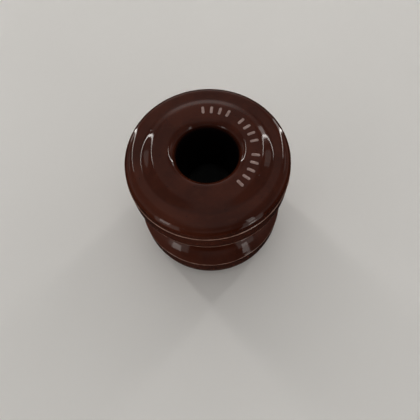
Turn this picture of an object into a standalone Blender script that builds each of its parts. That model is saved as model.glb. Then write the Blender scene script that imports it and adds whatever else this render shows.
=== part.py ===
"""Low-voltage spool insulator: one turned porcelain body and the glaze fused on it.

Metres, +Z up. The bore runs along +Z, and the origin is the centre of the foot ring, on the surface that
the spool stands on. Both ends have the same outline, so it is described from the waist to one end only.
"""

import math

import bpy
from mathutils import Matrix, Vector

# Driving dimensions. Heights are measured from the waist, halfway up.
HEIGHT = 0.0540
FLANGE_RADIUS = 0.0286
GROOVE_RADIUS = 0.02225
BORE_RADIUS = 0.00875
MOUTH_RADIUS = 0.0109
LAND_RADIUS = 0.0186
LEDGE_RADIUS = 0.02174
LEDGE_HEIGHT = 0.02545
CREST_RADIUS = 0.02815
SHOULDER_HEIGHT = 0.0195
BAND_BOTTOM = 0.0118
GROOVE_KNEE = 0.0074

# Edge and corner roundings
WAIST_ROUND = 0.0300
MOUTH_ROUND = 0.0034
LAND_ROUND = 0.0046
LEDGE_ROUND = 0.0042
CREST_ROUND = 0.0038
SHOULDER_ROUND = 0.0012
BAND_EDGE_ROUND = 0.0008
GROOVE_ROUND = 0.0115

# The glaze and the foot that it leaves bare
GLAZE_THICKNESS = 0.0004
GLAZE_GAP = 0.0003
FOOT_INNER_RADIUS = 0.0139
FOOT_OUTER_RADIUS = 0.0175

TURN_STEPS = 40
ARC_STEP = math.radians(20.0)
MERGE = 0.00001

PORCELAIN = ("porcelain", (0.72, 0.62, 0.50), 0.75)
GLAZE = ("brown_glaze", (0.075, 0.018, 0.010), 0.08)


def end_corners():
    """(radius, height, rounding) from the bore's mouth, over one end, to the side of the groove."""
    return [
        (MOUTH_RADIUS, HEIGHT / 2, MOUTH_ROUND),
        (LAND_RADIUS, HEIGHT / 2, LAND_ROUND),
        (LEDGE_RADIUS, LEDGE_HEIGHT, LEDGE_ROUND),
        (CREST_RADIUS, LEDGE_HEIGHT, CREST_ROUND),
        (FLANGE_RADIUS, SHOULDER_HEIGHT, SHOULDER_ROUND),
        (FLANGE_RADIUS, BAND_BOTTOM, BAND_EDGE_ROUND),
        (GROOVE_RADIUS, GROOVE_KNEE, GROOVE_ROUND),
    ]


def closed_corners():
    """The whole outline: up the bore, over the top end, down the groove side and round the bottom end."""
    upper = end_corners()
    lower = [(radius, -height, rounding) for radius, height, rounding in reversed(upper)]
    return [(BORE_RADIUS, 0.0, WAIST_ROUND), *upper, *lower]


def inset_corners(corners, distance):
    """The corners moved into the material, with each rounding kept parallel to the one outside it."""
    moved = []
    for index, (radius, height, rounding) in enumerate(corners):
        here = Vector((radius, height))
        before = (here - Vector(corners[index - 1][:2])).normalized()
        after = (Vector(corners[(index + 1) % len(corners)][:2]) - here).normalized()
        # The outline runs clockwise in (radius, height), so the material is on its right.
        right = Vector((before.y + after.y, -before.x - after.x)).normalized()
        miter = distance / right.dot(Vector((before.y, -before.x)))
        convex = before.x * after.y - before.y * after.x < 0
        place = here + right * miter
        moved.append((place.x, place.y, rounding - distance if convex else rounding + distance))
    return moved


def rounded(corners):
    """Points of the closed outline, with an arc at each corner."""
    points = []
    for index, (radius, height, rounding) in enumerate(corners):
        here = Vector((radius, height))
        back = (Vector(corners[index - 1][:2]) - here).normalized()
        onward = (Vector(corners[(index + 1) % len(corners)][:2]) - here).normalized()
        between = back.angle(onward)
        centre = here + (back + onward).normalized() * rounding / math.sin(between / 2)
        start = here + back * rounding / math.tan(between / 2) - centre
        turn = math.copysign(math.pi - between, start.y * back.x - start.x * back.y)
        steps = max(1, math.ceil(abs(turn) / ARC_STEP))
        for step in range(steps + 1):
            arm = Matrix.Rotation(turn * step / steps, 2) @ start
            points.append(centre + arm)
    return points


def glaze_line():
    """The glazed part of the outline, from the foot's inner edge up the bore and round to its outer edge."""
    points = rounded(closed_corners())
    bare = [
        point.y < -HEIGHT / 2 + MERGE and FOOT_INNER_RADIUS < point.x < FOOT_OUTER_RADIUS
        for point in points
    ]
    first = next(i for i in range(len(points)) if bare[i - 1] and not bare[i])
    ordered = points[first:] + points[:first]
    flags = bare[first:] + bare[:first]
    return [point for point, is_bare in zip(ordered, flags) if not is_bare]


def body_line():
    """The porcelain's outline: inside the glaze all round, and down to the floor at the foot ring."""
    inset = GLAZE_THICKNESS + GLAZE_GAP
    points = rounded(inset_corners(closed_corners(), inset))
    lowest = min(point.y for point in points)
    land = [i for i, point in enumerate(points) if point.y < lowest + MERGE]
    foot = [
        Vector((FOOT_OUTER_RADIUS - GLAZE_GAP, lowest)),
        Vector((FOOT_OUTER_RADIUS - GLAZE_GAP, -HEIGHT / 2)),
        Vector((FOOT_INNER_RADIUS + GLAZE_GAP, -HEIGHT / 2)),
        Vector((FOOT_INNER_RADIUS + GLAZE_GAP, lowest)),
    ]
    return points[: land[0] + 1] + foot + points[land[-1] :]


def material(name, colour, roughness):
    """A plain material with its colour and roughness."""
    made = bpy.data.materials.new(name)
    made.use_nodes = True
    shader = made.node_tree.nodes["Principled BSDF"]
    shader.inputs["Base Color"].default_value = (*colour, 1.0)
    shader.inputs["Roughness"].default_value = roughness
    made.diffuse_color = (*colour, 1.0)
    return made


def turned(name, line, is_closed, finish, collection):
    """A line in (radius, height) turned about the bore's axis."""
    count = len(line)
    edges = [(i, (i + 1) % count) for i in range(count if is_closed else count - 1)]
    mesh = bpy.data.meshes.new(name)
    mesh.from_pydata([(point.x, 0.0, point.y + HEIGHT / 2) for point in line], edges, [])
    made = bpy.data.objects.new(name, mesh)
    collection.objects.link(made)
    mesh.materials.append(material(*finish))
    screw = made.modifiers.new("turn", "SCREW")
    screw.axis = "Z"
    screw.steps = TURN_STEPS
    screw.render_steps = TURN_STEPS
    screw.use_merge_vertices = True
    screw.merge_threshold = MERGE
    screw.use_smooth_shade = True
    return made


def porcelain_body(collection):
    """The fired core, bare at the foot ring and everywhere else just under the glaze."""
    return turned("porcelain_body", body_line(), True, PORCELAIN, collection)


def glaze_coat(collection):
    """The glass layer, open at the foot ring."""
    made = turned("glaze_coat", glaze_line(), False, GLAZE, collection)
    shell = made.modifiers.new("thickness", "SOLIDIFY")
    shell.thickness = GLAZE_THICKNESS
    shell.offset = -1.0
    shell.use_even_offset = True
    return made


def clear_scene():
    for old in list(bpy.data.objects):
        bpy.data.objects.remove(old)


def main():
    clear_scene()
    collection = bpy.data.collections.new("spool_insulator")
    bpy.context.scene.collection.children.link(collection)
    porcelain_body(collection)
    glaze_coat(collection)


main()
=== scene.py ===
import math

import bmesh
import bpy
from mathutils import Matrix, Vector, noise

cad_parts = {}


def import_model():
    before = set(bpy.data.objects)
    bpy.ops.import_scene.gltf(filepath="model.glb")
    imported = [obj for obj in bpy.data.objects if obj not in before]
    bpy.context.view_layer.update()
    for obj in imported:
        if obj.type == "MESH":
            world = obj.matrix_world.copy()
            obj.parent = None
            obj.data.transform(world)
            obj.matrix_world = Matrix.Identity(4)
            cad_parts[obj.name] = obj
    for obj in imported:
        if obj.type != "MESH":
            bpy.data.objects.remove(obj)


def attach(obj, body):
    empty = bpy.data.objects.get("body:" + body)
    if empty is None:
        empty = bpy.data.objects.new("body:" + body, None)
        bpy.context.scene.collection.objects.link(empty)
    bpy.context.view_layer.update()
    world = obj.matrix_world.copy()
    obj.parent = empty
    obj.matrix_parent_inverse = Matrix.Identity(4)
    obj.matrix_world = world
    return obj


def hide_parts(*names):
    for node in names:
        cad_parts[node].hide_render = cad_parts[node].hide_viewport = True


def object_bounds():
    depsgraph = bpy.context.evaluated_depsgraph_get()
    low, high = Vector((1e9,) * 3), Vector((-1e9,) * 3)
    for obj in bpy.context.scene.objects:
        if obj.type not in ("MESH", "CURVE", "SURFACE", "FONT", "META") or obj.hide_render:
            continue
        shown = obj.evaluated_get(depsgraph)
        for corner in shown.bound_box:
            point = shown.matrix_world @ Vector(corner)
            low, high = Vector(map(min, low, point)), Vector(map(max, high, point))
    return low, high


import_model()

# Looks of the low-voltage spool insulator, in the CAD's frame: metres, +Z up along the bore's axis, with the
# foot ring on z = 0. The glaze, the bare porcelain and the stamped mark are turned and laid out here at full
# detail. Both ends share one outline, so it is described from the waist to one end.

CAD_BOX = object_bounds()
LOWEST, HIGHEST = (Vector(corner) for corner in CAD_BOX)

# The spool's outline. Heights are measured from the waist.
HEIGHT = HIGHEST.z - LOWEST.z
FLANGE_RADIUS = HIGHEST.x
GROOVE_RADIUS = 0.02225
BORE_RADIUS = 0.00875
MOUTH_RADIUS = 0.0109
LAND_RADIUS = 0.0186
LEDGE_RADIUS = 0.02174
LEDGE_HEIGHT = 0.02545
CREST_RADIUS = 0.02815
SHOULDER_HEIGHT = 0.0195
BAND_STEP = 0.00022
BAND_SLOPE = 0.0004
BAND_BOTTOM = 0.0118
GROOVE_KNEE = 0.0074

# Edge and corner roundings
WAIST_ROUND = 0.0300
MOUTH_ROUND = 0.0034
LAND_ROUND = 0.0046
LEDGE_ROUND = 0.0042
CREST_ROUND = 0.0038
STEP_ROUND = 0.0005
SHOULDER_ROUND = 0.0006
BAND_EDGE_ROUND = 0.0006
GROOVE_ROUND = 0.0115
LEAST_ROUND = 0.0001

# The glaze, and the foot that it leaves bare
GLAZE_THICKNESS = 0.0004
GLAZE_GAP = 0.0003
FOOT_INNER_RADIUS = 0.0139
FOOT_OUTER_RADIUS = 0.0175
FOOT_LIP = 0.00006
FOOT_CHAMFER = 0.00025

# What the glaze does: it pools in a hollow, most of all in a tight one. Along each edge of the flanges' bands
# a painted highlight runs as a narrow line.
# Painted shade darkens the glaze in the bore from SHADE_TOP to SHADE_BOTTOM below the end.
RIM_HIGHLIGHT_WIDTH = 0.0006
TIGHT_ROUND = 0.0008
POOLING = "pooling"
SHADE_OUTER = 0.0008
SHADE_INNER = 0.0004
SHADE_TOP = 0.0005
SHADE_BOTTOM = 0.0035
WARM_REACH = 1.35
WARM_STRENGTH = 0.45

# How finely the outline is turned. Points within LEVEL of one height are on one flat.
TURN_STEPS = 192
ARC_STEP = math.radians(6.0)
LEAST_ARC_STEPS = 3
LONGEST_STEP = 0.0013
LEVEL = 0.00001

# The unevenness of fired clay: (how much finer, share of the height) for each wave. It fades out below
# STILL_HEIGHT, and END_BLEND says how near the ends it turns from outwards to up or down.
WAVE_SIZE = 0.012
WAVE_HEIGHT = 0.00004
WAVES = ((1.0, 1.0), (2.7, 0.4), (6.5, 0.12))
STILL_HEIGHT = 0.004
END_BLEND = 4

# The stamped mark: groups of short bars on the top land, counted clockwise from the far side
MARK_GROUPS = (4, 4, 5)
MARK_START = math.radians(90.6)
MARK_PITCH = math.radians(10.5)
MARK_GAP = math.radians(8.9)
MARK_INNER = 0.0147
MARK_OUTER = 0.0176
BAR_WIDTH = 0.0010
BAR_END_STEPS = 8
INK_HEIGHT = 0.00005

# The camera and the room
CAMERA_PLACE = (-0.00054, -0.06828, 0.16771)
CAMERA_TILT = math.radians(22.47)
CAMERA_ROLL = math.radians(-4.68)
CAMERA_LENS = 34.13
CAMERA_SENSOR = 36.0
CAMERA_CLIP = 0.01
GAMMA = 0.88
FLOOR_REACH = 3.0
BACKDROP_RADIUS = 0.85
SOFT_DISTANCE = 1.3

# Colours
GLAZE_DARK = (0.052, 0.0115, 0.0052)
GLAZE_LIGHT = (0.074, 0.0175, 0.0082)
GLAZE_STREAK = (0.085, 0.025, 0.013)
GLAZE_WARM = (0.120, 0.034, 0.018)
GLAZE_POOLED = (0.022, 0.006, 0.004)
# Painted highlight along the edges of the flanges' bands
GLAZE_PAINTED_HIGHLIGHT = (0.49, 0.34, 0.28)
# Painted shade for the inside of the bore
PAINTED_BORE_SHADE = (0.006, 0.004, 0.004)
GLAZE_SPECK = (0.008, 0.003, 0.002)
CLAY_DARK = (0.46, 0.36, 0.26)
CLAY_LIGHT = (0.62, 0.53, 0.41)
CLAY_DIRT = (0.24, 0.17, 0.12)
INK_DARK = (0.30, 0.205, 0.185)
INK_LIGHT = (0.42, 0.31, 0.285)
INK_WORN = (0.06, 0.022, 0.016)
TABLE_DARK = (0.845, 0.835, 0.818)
TABLE_LIGHT = (0.865, 0.855, 0.838)
WALL_GLOW = (0.60, 0.59, 0.57, 1.0)
ROOM_GLOW = (1.0, 0.985, 0.96, 1.0)
BLACK = (0.0, 0.0, 0.0, 1.0)
LAMP = (1.0, 0.98, 0.95)


# ---------------------------------------------------------------- outline

def end_corners():
    """(radius, height, rounding) from the bore's mouth, over one end, to the side of the groove."""
    return [
        (MOUTH_RADIUS, HEIGHT / 2, MOUTH_ROUND),
        (LAND_RADIUS, HEIGHT / 2, LAND_ROUND),
        (LEDGE_RADIUS, LEDGE_HEIGHT, LEDGE_ROUND),
        (CREST_RADIUS, LEDGE_HEIGHT, CREST_ROUND),
        (FLANGE_RADIUS - BAND_STEP, SHOULDER_HEIGHT + BAND_SLOPE, STEP_ROUND),
        (FLANGE_RADIUS, SHOULDER_HEIGHT, SHOULDER_ROUND),
        (FLANGE_RADIUS, BAND_BOTTOM, BAND_EDGE_ROUND),
        (GROOVE_RADIUS, GROOVE_KNEE, GROOVE_ROUND),
    ]


def closed_corners():
    """The whole outline: up the bore, over the top end, down the groove side and round the bottom end."""
    upper = end_corners()
    lower = [(radius, -height, rounding) for radius, height, rounding in reversed(upper)]
    return [(BORE_RADIUS, 0.0, WAIST_ROUND), *upper, *lower]


def inset_corners(corners, distance):
    """The corners moved into the material, with each rounding kept parallel to the one outside it."""
    moved = []
    for index, (radius, height, rounding) in enumerate(corners):
        here = Vector((radius, height))
        before = (here - Vector(corners[index - 1][:2])).normalized()
        after = (Vector(corners[(index + 1) % len(corners)][:2]) - here).normalized()
        # The outline runs clockwise in (radius, height), so the material is on its right.
        right = Vector((before.y + after.y, -before.x - after.x)).normalized()
        place = here + right * distance / right.dot(Vector((before.y, -before.x)))
        convex = before.x * after.y - before.y * after.x < 0
        parallel = max(rounding - distance, LEAST_ROUND) if convex else rounding + distance
        moved.append((place.x, place.y, parallel))
    return moved


def rounded(corners):
    """Points of the closed outline, each with how much glaze pools there, up to 1 in a tight hollow."""
    points = []
    for index, (radius, height, rounding) in enumerate(corners):
        here = Vector((radius, height))
        back = (Vector(corners[index - 1][:2]) - here).normalized()
        onward = (Vector(corners[(index + 1) % len(corners)][:2]) - here).normalized()
        between = back.angle(onward)
        centre = here + (back + onward).normalized() * rounding / math.sin(between / 2)
        start = here + back * rounding / math.tan(between / 2) - centre
        turn = math.copysign(math.pi - between, start.y * back.x - start.x * back.y)
        convex = turn < 0
        deepest = 0.0 if convex else min(1.0, TIGHT_ROUND / rounding)
        steps = max(LEAST_ARC_STEPS, math.ceil(abs(turn) / ARC_STEP))
        for step in range(steps + 1):
            arm = Matrix.Rotation(turn * step / steps, 2) @ start
            points.append((centre + arm, deepest * math.sin(math.pi * step / steps)))
    return filled(points)


def filled(points):
    """The outline with points added along its straight stretches."""
    full = []
    for index, (place, pooling) in enumerate(points):
        following, next_pooling = points[(index + 1) % len(points)]
        parts = max(1, math.ceil((following - place).length / LONGEST_STEP))
        for part in range(parts):
            share = part / parts
            full.append((place.lerp(following, share), pooling + (next_pooling - pooling) * share))
    return full


def glaze_line():
    """The glazed part of the outline, from the foot's inner edge up the bore and round to its outer edge."""
    points = rounded(closed_corners())
    bare = [
        place.y < -HEIGHT / 2 + FOOT_LIP and FOOT_INNER_RADIUS < place.x < FOOT_OUTER_RADIUS
        for place, _ in points
    ]
    first = next(i for i in range(len(points)) if bare[i - 1] and not bare[i])
    ordered = points[first:] + points[:first]
    flags = bare[first:] + bare[:first]
    return [point for point, is_bare in zip(ordered, flags) if not is_bare]


def body_line():
    """The porcelain's outline: inside the glaze all round, and down to the floor at the foot ring."""
    points = rounded(inset_corners(closed_corners(), GLAZE_THICKNESS + GLAZE_GAP))
    lowest = min(place.y for place, _ in points)
    land = [i for i, (place, _) in enumerate(points) if place.y < lowest + LEVEL]
    floor_height = -HEIGHT / 2
    outer = FOOT_OUTER_RADIUS - GLAZE_GAP
    inner = FOOT_INNER_RADIUS + GLAZE_GAP
    foot = [
        (outer, lowest),
        (outer, floor_height + FOOT_CHAMFER),
        (outer - FOOT_CHAMFER, floor_height),
        ((outer + inner) / 2, floor_height),
        (inner + FOOT_CHAMFER, floor_height),
        (inner, floor_height + FOOT_CHAMFER),
        (inner, lowest),
    ]
    return points[: land[0] + 1] + [(Vector(place), 0.0) for place in foot] + points[land[-1] :]


# ---------------------------------------------------------------- meshes

def waved(place):
    """A point of the fired surface, moved a little as hand-finished clay is: outwards on the walls, up or
    down on the ends, and not at all on the floor."""
    wave = sum(share * noise.noise(place / WAVE_SIZE * finer) for finer, share in WAVES)
    away = Vector((place.x, place.y, 0.0)).normalized()
    rise = 1.0 if place.z > HEIGHT / 2 else -1.0
    ends = min(1.0, abs(place.z - HEIGHT / 2) / (HEIGHT / 2)) ** END_BLEND
    still = min(1.0, place.z / STILL_HEIGHT)
    return place + (away * (1 - ends) + Vector((0, 0, rise * ends))) * wave * WAVE_HEIGHT * still


def turned(name, line, is_closed, finish):
    """An outline turned about the bore's axis, as a piece that rides on the spool's body."""
    shape = bmesh.new()
    pooling_layer = shape.verts.layers.float.new(POOLING)
    rings = []
    for place, pooling in line:
        ring = []
        for step in range(TURN_STEPS):
            angle = math.tau * step / TURN_STEPS
            point = Vector((place.x * math.cos(angle), place.x * math.sin(angle), place.y + HEIGHT / 2))
            vertex = shape.verts.new(waved(point))
            vertex[pooling_layer] = pooling
            ring.append(vertex)
        rings.append(ring)
    for lower, upper in zip(rings, rings[1:] + rings[: int(is_closed)]):
        join(shape, lower, upper)
    return piece(name, shape, finish)


def join(shape, lower, upper):
    """A belt of faces between two rings with as many corners."""
    for step in range(len(lower)):
        after = (step + 1) % len(lower)
        shape.faces.new((lower[step], lower[after], upper[after], upper[step]))


def solid(name, shape, finish):
    """A smooth object made of a shape, with its material."""
    mesh = bpy.data.meshes.new(name)
    shape.to_mesh(mesh)
    shape.free()
    mesh.shade_smooth()
    mesh.materials.append(finish)
    made = bpy.data.objects.new(name, mesh)
    bpy.context.scene.collection.objects.link(made)
    return made


def piece(name, shape, finish):
    """A solid that rides on the spool's body."""
    bmesh.ops.recalc_face_normals(shape, faces=shape.faces)
    made = solid(name, shape, finish)
    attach(made, "root")
    return made


# ---------------------------------------------------------------- materials

class Nodes:
    """A node tree, with short calls for the nodes that the materials and the room share."""

    def __init__(self, owner, coordinates):
        owner.use_nodes = True
        self.tree = owner.node_tree
        self.place = self.node("ShaderNodeTexCoord").outputs[coordinates]

    def node(self, kind, **settings):
        """A new node with its settings."""
        made = self.tree.nodes.new(kind)
        for key, value in settings.items():
            setattr(made, key, value)
        return made

    def link(self, source, target):
        """A link from one socket to another."""
        self.tree.links.new(source, target)

    def axes(self):
        """The X, Y and Z of the place."""
        split = self.node("ShaderNodeSeparateXYZ")
        self.link(self.place, split.inputs["Vector"])
        return tuple(split.outputs)

    def ramp(self, source, low, high, out_low=0.0, out_high=1.0, kind="SMOOTHSTEP"):
        """A value that goes from out_low to out_high as its source goes from low to high."""
        made = self.node("ShaderNodeMapRange", interpolation_type=kind)
        made.inputs["From Min"].default_value = low
        made.inputs["From Max"].default_value = high
        made.inputs["To Min"].default_value = out_low
        made.inputs["To Max"].default_value = out_high
        self.link(source, made.inputs["Value"])
        return made.outputs["Result"]

    def maths(self, operation, *values):
        """The result of an operation on numbers or sockets."""
        made = self.node("ShaderNodeMath", operation=operation)
        for socket, value in zip(made.inputs, values):
            if isinstance(value, float):
                socket.default_value = value
            else:
                self.link(value, socket)
        return made.outputs["Value"]

    def away_from(self, source, middle):
        """How far a value is from a number, either way."""
        return self.maths("ABSOLUTE", self.maths("SUBTRACT", source, middle))

    def product(self, first, *others):
        """All the values multiplied."""
        for other in others:
            first = self.maths("MULTIPLY", first, other)
        return first


class Recipe(Nodes):
    """A material's nodes, with patterns that are laid out in the spool's own frame."""

    def __init__(self, name):
        self.material = bpy.data.materials.new(name)
        super().__init__(self.material, "Object")
        self.shader = self.tree.nodes["Principled BSDF"]

    def noise(self, scale, detail=3.0, roughness=0.5):
        """Smooth noise from 0 to 1."""
        made = self.node("ShaderNodeTexNoise")
        made.inputs["Scale"].default_value = scale
        made.inputs["Detail"].default_value = detail
        made.inputs["Roughness"].default_value = roughness
        self.link(self.place, made.inputs["Vector"])
        return made.outputs["Fac"]

    def dots(self, scale, low, high):
        """Scattered dots: 1 within high of each one's middle and 0 beyond low, in shares of 1 / scale."""
        made = self.node("ShaderNodeTexVoronoi")
        made.inputs["Scale"].default_value = scale
        self.link(self.place, made.inputs["Vector"])
        return self.ramp(made.outputs["Distance"], low, high)

    def mix(self, amount, first, second):
        """A colour between two others, which are sockets or (red, green, blue)."""
        made = self.node("ShaderNodeMix", data_type="RGBA")
        self.link(amount, made.inputs["Factor"])
        # The node's sockets for numbers, vectors and colours share their names, so these go by place.
        for socket, value in ((made.inputs[6], first), (made.inputs[7], second)):
            if isinstance(value, tuple):
                socket.default_value = (*value, 1.0)
            else:
                self.link(value, socket)
        return made.outputs[2]

    def radius_and_rise(self):
        """The distance from the bore's axis, and the distance up or down from the waist."""
        across, along, up = self.axes()
        squares = self.maths("ADD", self.maths("POWER", across, 2.0), self.maths("POWER", along, 2.0))
        return self.maths("POWER", squares, 0.5), self.away_from(up, HEIGHT / 2)

    def painted_rim_highlights(self):
        """Where the painted highlights go: 1 along both edges of each flange's band, falling to 0 within one
        line's width of them.
        """
        radius, rise = self.radius_and_rise()
        outside = self.ramp(radius, FLANGE_RADIUS - 3 * RIM_HIGHLIGHT_WIDTH, FLANGE_RADIUS - RIM_HIGHLIGHT_WIDTH)
        upper = self.ramp(self.away_from(rise, SHOULDER_HEIGHT), RIM_HIGHLIGHT_WIDTH, 0.0)
        lower = self.ramp(self.away_from(rise, BAND_BOTTOM + RIM_HIGHLIGHT_WIDTH / 2), RIM_HIGHLIGHT_WIDTH, 0.0)
        return self.product(outside, self.maths("MAXIMUM", upper, lower))

    def warm_side(self):
        """Above 0 on the side of the flanges towards -X and -Y, where the glaze turns lighter and redder."""
        across, along, _ = self.axes()
        diagonal = self.maths("ADD", across, along)
        return self.ramp(diagonal, -GROOVE_RADIUS, -FLANGE_RADIUS * WARM_REACH, 0.0, WARM_STRENGTH)

    def bore_shade_mask(self):
        """Where painted shade darkens the bore: 0 outside it, rising to 1 a little way down inside it."""
        radius, rise = self.radius_and_rise()
        inside = self.ramp(radius, MOUTH_RADIUS + SHADE_OUTER, MOUTH_RADIUS - SHADE_INNER)
        deep = self.ramp(rise, HEIGHT / 2 - SHADE_TOP, HEIGHT / 2 - SHADE_BOTTOM)
        return self.product(inside, deep)

    def bump(self, height, distance):
        """A surface normal from a height, of which 1 stands for this distance outwards."""
        made = self.node("ShaderNodeBump")
        made.inputs["Distance"].default_value = distance
        self.link(height, made.inputs["Height"])
        return made.outputs["Normal"]

    def finish(self, colour, roughness, normal):
        """The material, once its colour, roughness and normal are known."""
        self.link(colour, self.shader.inputs["Base Color"])
        self.link(roughness, self.shader.inputs["Roughness"])
        self.link(normal, self.shader.inputs["Normal"])
        return self.material


def glaze_colour(recipe):
    """Chocolate brown: darker where the glaze pools, redder on one side, with painted highlights along the
    flanges' band edges and painted shade down the bore.
    """
    clouds = recipe.noise(95.0, detail=4.0, roughness=0.55)
    streaks = recipe.noise(420.0, roughness=0.6)
    brown = recipe.mix(recipe.ramp(clouds, 0.35, 0.68), GLAZE_DARK, GLAZE_LIGHT)
    streaked = recipe.mix(recipe.ramp(streaks, 0.52, 0.75, 0.0, 0.35), brown, GLAZE_STREAK)
    warmed = recipe.mix(recipe.warm_side(), streaked, GLAZE_WARM)
    pooling = recipe.node("ShaderNodeAttribute", attribute_name=POOLING).outputs["Fac"]
    pooled = recipe.mix(recipe.ramp(pooling, 0.0, 0.5, 0.0, 0.6), warmed, GLAZE_POOLED)
    # Painted highlight lines along the flanges' band edges, patchy in strength
    broken_up = recipe.ramp(recipe.noise(260.0, roughness=0.6), 0.30, 0.62, 0.75, 1.0)
    highlight_strength = recipe.maths("ADD", recipe.painted_rim_highlights(), recipe.ramp(streaks, 0.3, 0.7, -0.18, 0.10))
    highlight_amount = recipe.product(recipe.ramp(highlight_strength, 0.25, 1.0, 0.0, 0.88), broken_up)
    highlighted = recipe.mix(highlight_amount, pooled, GLAZE_PAINTED_HIGHLIGHT)
    # Painted shade down the bore
    shaded = recipe.mix(recipe.bore_shade_mask(), highlighted, PAINTED_BORE_SHADE)
    chosen = recipe.ramp(recipe.noise(330.0, detail=1.0), 0.62, 0.66)
    specks = recipe.product(recipe.dots(900.0, 0.16, 0.08), chosen)
    return recipe.mix(specks, shaded, GLAZE_SPECK)


def glaze_height(recipe):
    """A faint ripple with a few raised pimples, 5 ripples high."""
    ripple = recipe.ramp(recipe.noise(520.0, detail=2.0), 0.0, 1.0, kind="LINEAR")
    chosen = recipe.ramp(recipe.noise(120.0, detail=1.0), 0.63, 0.65)
    pimples = recipe.product(recipe.dots(260.0, 0.11, 0.02), chosen, 5.0)
    return recipe.maths("ADD", ripple, pimples)


def glaze_material():
    """Brown glass, glossy with a little haze."""
    recipe = Recipe("brown_glaze")
    haze = recipe.ramp(recipe.noise(160.0, detail=5.0, roughness=0.65), 0.35, 0.75, 0.045, 0.13)
    recipe.shader.inputs["IOR"].default_value = 1.5
    recipe.shader.inputs["Specular IOR Level"].default_value = 0.42
    return recipe.finish(glaze_colour(recipe), haze, recipe.bump(glaze_height(recipe), distance=0.000012))


def porcelain_material():
    """Bare fired clay: cream to buff, gritty and matt."""
    recipe = Recipe("porcelain")
    clouds = recipe.noise(140.0, detail=5.0, roughness=0.6)
    grains = recipe.noise(2600.0, roughness=0.7)
    clay = recipe.mix(recipe.ramp(clouds, 0.35, 0.65), CLAY_DARK, CLAY_LIGHT)
    dirty = recipe.mix(recipe.ramp(grains, 0.58, 0.75, 0.0, 0.6), clay, CLAY_DIRT)
    rough = recipe.ramp(grains, 0.3, 0.7, 0.72, 0.9)
    return recipe.finish(dirty, rough, recipe.bump(grains, distance=0.00008))


def ink_material():
    """Pale fired ink, laid thinly and broken where the stamp didn't press."""
    recipe = Recipe("mark_ink")
    clouds = recipe.noise(700.0, detail=4.0, roughness=0.6)
    grains = recipe.noise(3200.0, roughness=0.7)
    ink = recipe.mix(recipe.ramp(clouds, 0.3, 0.7), INK_DARK, INK_LIGHT)
    broken_up = recipe.mix(recipe.ramp(grains, 0.56, 0.70, 0.0, 0.8), ink, INK_WORN)
    rough = recipe.ramp(grains, 0.3, 0.7, 0.25, 0.5)
    return recipe.finish(broken_up, rough, recipe.bump(grains, distance=0.00002))


def table_material():
    """A pale matt table."""
    recipe = Recipe("pale_table")
    clouds = recipe.noise(6.0, detail=4.0)
    grey = recipe.mix(recipe.ramp(clouds, 0.3, 0.7), TABLE_DARK, TABLE_LIGHT)
    rough = recipe.ramp(clouds, 0.3, 0.7, 0.75, 0.85)
    recipe.shader.inputs["Specular IOR Level"].default_value = 0.1
    return recipe.finish(grey, rough, recipe.bump(recipe.noise(900.0, detail=2.0), distance=0.00002))


def wall_material():
    """A plain wall that glows evenly."""
    recipe = Recipe("pale_wall")
    recipe.shader.inputs["Base Color"].default_value = BLACK
    recipe.shader.inputs["Specular IOR Level"].default_value = 0.0
    recipe.shader.inputs["Emission Color"].default_value = WALL_GLOW
    recipe.shader.inputs["Emission Strength"].default_value = 1.0
    return recipe.material


# ---------------------------------------------------------------- pieces

def glaze_skin():
    """The glass layer over the whole spool, open at the foot ring."""
    made = turned("glaze_skin", glaze_line(), False, glaze_material())
    shell = made.modifiers.new("thickness", "SOLIDIFY")
    shell.thickness = GLAZE_THICKNESS
    shell.offset = -1.0
    shell.use_even_offset = True
    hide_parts("glaze_coat")


def porcelain_core():
    """The fired body, which shows only at its bare foot ring."""
    made = turned("porcelain_core", body_line(), True, porcelain_material())
    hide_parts("porcelain_body")


def bar_outline(width, length):
    """Points of a bar with round ends, along +Y and centred on the origin."""
    radius = width / 2
    points = []
    for centre, start in ((length / 2 - radius, 0.0), (radius - length / 2, math.pi)):
        for step in range(BAR_END_STEPS + 1):
            angle = start + math.pi * step / BAR_END_STEPS
            points.append(Vector((radius * math.cos(angle), centre + radius * math.sin(angle))))
    return points


def stamp_bar(shape, angle):
    """One bar of ink: a low pad with a sloping edge, laid on the land at an angle round the bore."""
    length = MARK_OUTER - MARK_INNER
    middle = (MARK_OUTER + MARK_INNER) / 2
    turn = Matrix.Rotation(angle - math.pi / 2, 3, "Z")
    layers = ((0.0, -INK_HEIGHT), (0.0, INK_HEIGHT * 0.5), (INK_HEIGHT, INK_HEIGHT))
    rings = []
    for inset, rise in layers:
        ring = []
        for point in bar_outline(BAR_WIDTH - 2 * inset, length - 2 * inset):
            place = turn @ Vector((point.x, point.y + middle, 0.0))
            ring.append(shape.verts.new(waved(place + Vector((0, 0, HEIGHT))) + Vector((0, 0, rise))))
        rings.append(ring)
    for lower, upper in zip(rings, rings[1:]):
        join(shape, lower, upper)
    shape.faces.new(reversed(rings[0]))
    shape.faces.new(rings[-1])


def class_mark():
    """Groups of plain bars where such a spool has its class printed."""
    shape = bmesh.new()
    angle = MARK_START
    for count in MARK_GROUPS:
        for _ in range(count):
            stamp_bar(shape, angle)
            angle -= MARK_PITCH
        angle -= MARK_GAP
    piece("class_mark", shape, ink_material())


# ---------------------------------------------------------------- room

def table():
    """The table that the spool stands on. The glaze doesn't mirror it."""
    shape = bmesh.new()
    bmesh.ops.create_grid(shape, x_segments=8, y_segments=8, size=FLOOR_REACH)
    made = solid("table", shape, table_material())
    made.visible_glossy = False


def backdrop():
    """A plain pale wall all round, which only the camera sees."""
    shape = bmesh.new()
    bmesh.ops.create_uvsphere(shape, u_segments=48, v_segments=24, radius=BACKDROP_RADIUS)
    made = solid("backdrop", shape, wall_material())
    for ray in ("diffuse", "glossy", "transmission", "volume_scatter", "shadow"):
        setattr(made, "visible_" + ray, False)


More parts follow.
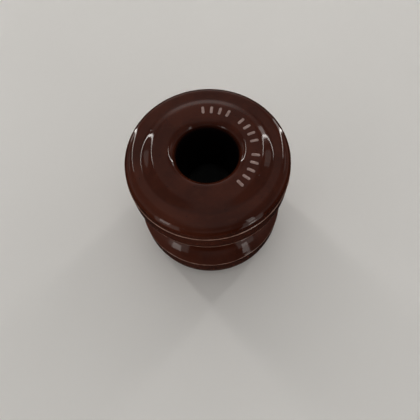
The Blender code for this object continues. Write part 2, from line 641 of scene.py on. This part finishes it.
def panel(name, azimuth, elevation, distance, width, height, power):
    """A rectangular light that faces the spool. Azimuth runs from +X towards +Y, in degrees."""
    light = bpy.data.lights.new(name, "AREA")
    light.shape = "RECTANGLE"
    light.size = width
    light.size_y = height
    light.energy = power
    light.color = LAMP
    made = bpy.data.objects.new(name, light)
    offset = Vector((distance, 0.0, 0.0))
    offset.rotate(Matrix.Rotation(-math.radians(elevation), 3, "Y"))
    offset.rotate(Matrix.Rotation(math.radians(azimuth), 3, "Z"))
    made.location = offset + Vector((0.0, 0.0, HEIGHT / 2))
    made.rotation_euler = offset.to_track_quat("Z", "Y").to_euler()
    made.visible_camera = False
    bpy.context.scene.collection.objects.link(made)
    return made


def soft_panel(name, azimuth, elevation, width, height, power):
    """A big soft light that the glaze doesn't mirror."""
    panel(name, azimuth, elevation, SOFT_DISTANCE, width, height, power).visible_glossy = False


def lights():
    """Soft light over the table and all round it, and the windows and lamps that the glaze mirrors."""
    soft_panel("soft_box", azimuth=100, elevation=84, width=1.6, height=1.6, power=2.4)
    soft_panel("soft_back", azimuth=92, elevation=28, width=1.8, height=0.9, power=3.6)
    soft_panel("soft_left", azimuth=185, elevation=26, width=1.6, height=0.9, power=2.8)
    soft_panel("soft_right", azimuth=355, elevation=26, width=1.6, height=0.9, power=2.6)
    soft_panel("soft_front", azimuth=270, elevation=28, width=1.8, height=0.9, power=1.6)
    panel("left_window", azimuth=129, elevation=23, distance=1.0, width=0.045, height=1.30, power=1.9)
    panel("right_window", azimuth=42.5, elevation=20, distance=1.0, width=0.045, height=1.22, power=1.8)
    panel("right_pane", azimuth=46, elevation=8, distance=0.98, width=0.170, height=0.42, power=0.46)
    panel("left_pane", azimuth=133, elevation=6, distance=0.98, width=0.130, height=0.32, power=0.20)
    panel("left_wall", azimuth=149, elevation=26, distance=1.0, width=0.24, height=0.16, power=0.08)
    panel("right_wall", azimuth=22, elevation=32, distance=1.0, width=0.24, height=0.20, power=0.09)
    panel("left_lamp", azimuth=220, elevation=6, distance=1.0, width=0.20, height=0.42, power=0.58)
    panel("left_glow", azimuth=222, elevation=-6, distance=1.02, width=0.50, height=0.80, power=0.75)
    panel("right_lamp", azimuth=310, elevation=14, distance=1.0, width=0.13, height=0.58, power=0.52)
    panel("right_low", azimuth=312, elevation=-24, distance=1.0, width=0.12, height=0.30, power=0.26)
    panel("right_glow", azimuth=312, elevation=-14, distance=1.02, width=0.42, height=0.95, power=0.80)


def world():
    """A dim room: palest behind the spool near the horizon, dark in front, at the sides and below."""
    made = bpy.data.worlds.new("room")
    nodes = Nodes(made, "Generated")
    across, along, up = nodes.axes()
    overhead = nodes.ramp(up, 0.05, 0.5, 0.62, 0.34)
    below = nodes.ramp(up, -0.20, 0.0, 0.03, 1.0)
    front = nodes.ramp(along, -0.85, -0.45, 0.34, 1.0)
    sides = nodes.ramp(nodes.maths("ABSOLUTE", across), 0.20, 0.45, 1.0, 0.45)
    background = nodes.tree.nodes["Background"]
    background.inputs["Color"].default_value = ROOM_GLOW
    nodes.link(nodes.product(overhead, below, front, sides), background.inputs["Strength"])
    bpy.context.scene.world = made


def camera():
    """The view from in front, steeply down, a little rolled."""
    lens = bpy.data.cameras.new("camera")
    lens.lens = CAMERA_LENS
    lens.sensor_width = CAMERA_SENSOR
    lens.clip_start = CAMERA_CLIP
    made = bpy.data.objects.new("camera", lens)
    turn = Matrix.Rotation(CAMERA_TILT, 4, "X") @ Matrix.Rotation(CAMERA_ROLL, 4, "Z")
    made.matrix_world = Matrix.Translation(CAMERA_PLACE) @ turn
    bpy.context.scene.collection.objects.link(made)
    bpy.context.scene.camera = made


bpy.context.scene.view_settings.view_transform = "Standard"
bpy.context.scene.view_settings.gamma = GAMMA
camera()
glaze_skin()
porcelain_core()
class_mark()
table()
backdrop()
lights()
world()
